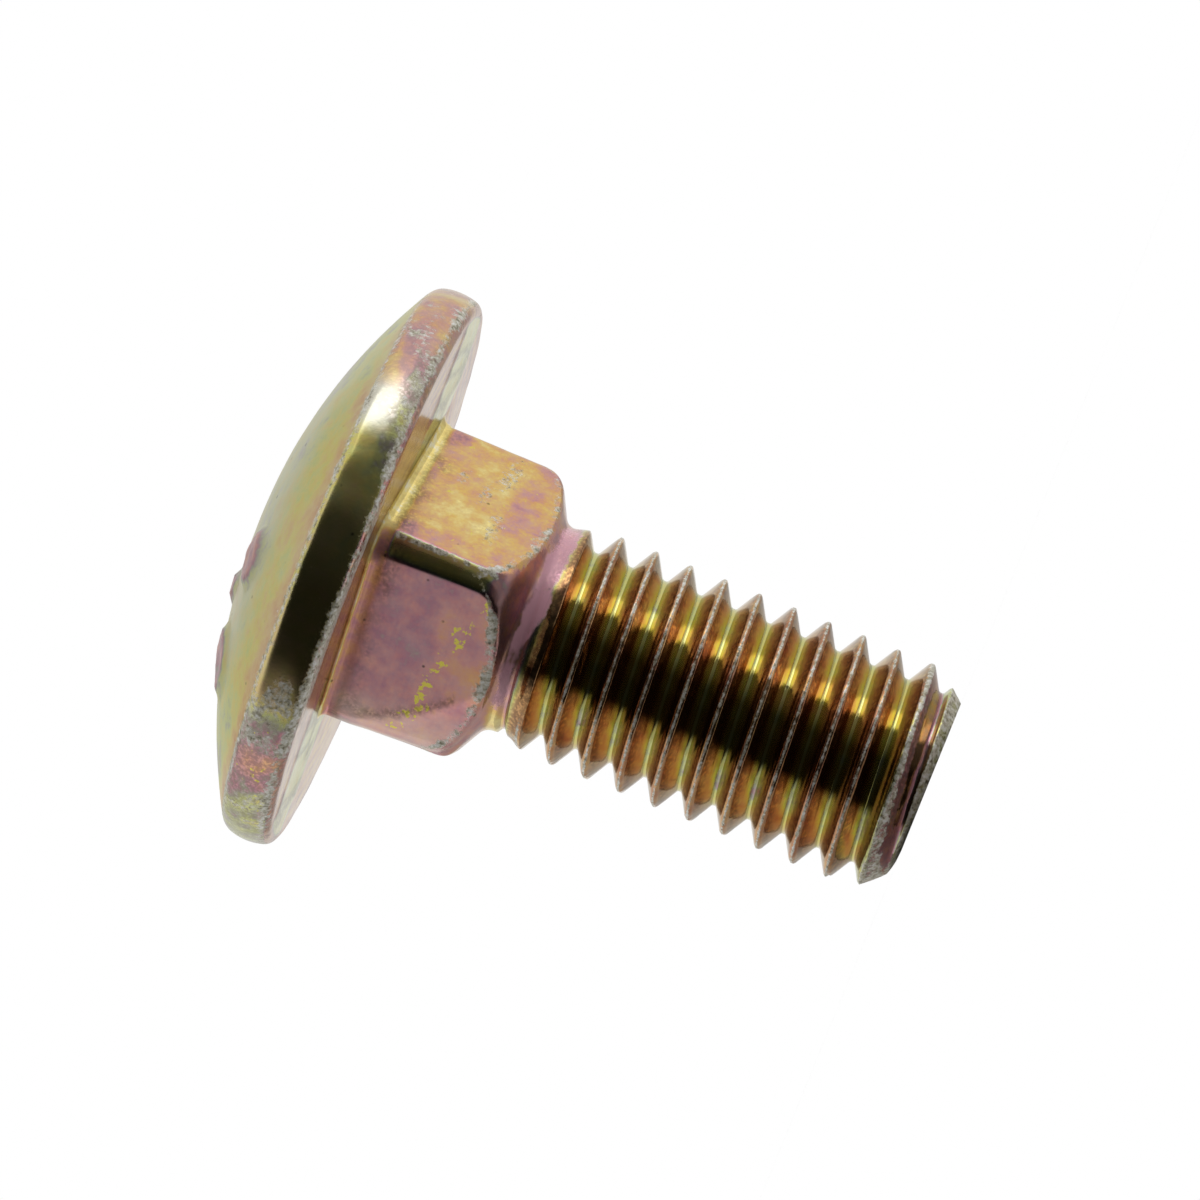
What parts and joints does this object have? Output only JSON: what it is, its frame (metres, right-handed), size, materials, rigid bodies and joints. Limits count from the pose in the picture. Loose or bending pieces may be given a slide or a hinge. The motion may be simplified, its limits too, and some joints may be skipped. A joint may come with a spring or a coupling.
{
  "type": "carriage bolt",
  "caption": "Short carriage bolt with a low domed head, a square neck with rounded corners, and a coarse right-hand thread from the neck to a tapered flat end.",
  "frame": {"origin": "centre of the square neck, in the plane of the bearing face under the head", "axes": "+Z along the shank's axis towards the domed head, with the threaded end towards -Z; X and Y square to the neck's flats"},
  "size_m": [0.0198, 0.0198, 0.0241],
  "materials": {
    "zinc_plated_steel": "yellow chromate zinc plating, half gloss, scuffed"
  },
  "bodies": {
    "root": {"bolt": "zinc_plated_steel"}
  },
  "joints": []
}
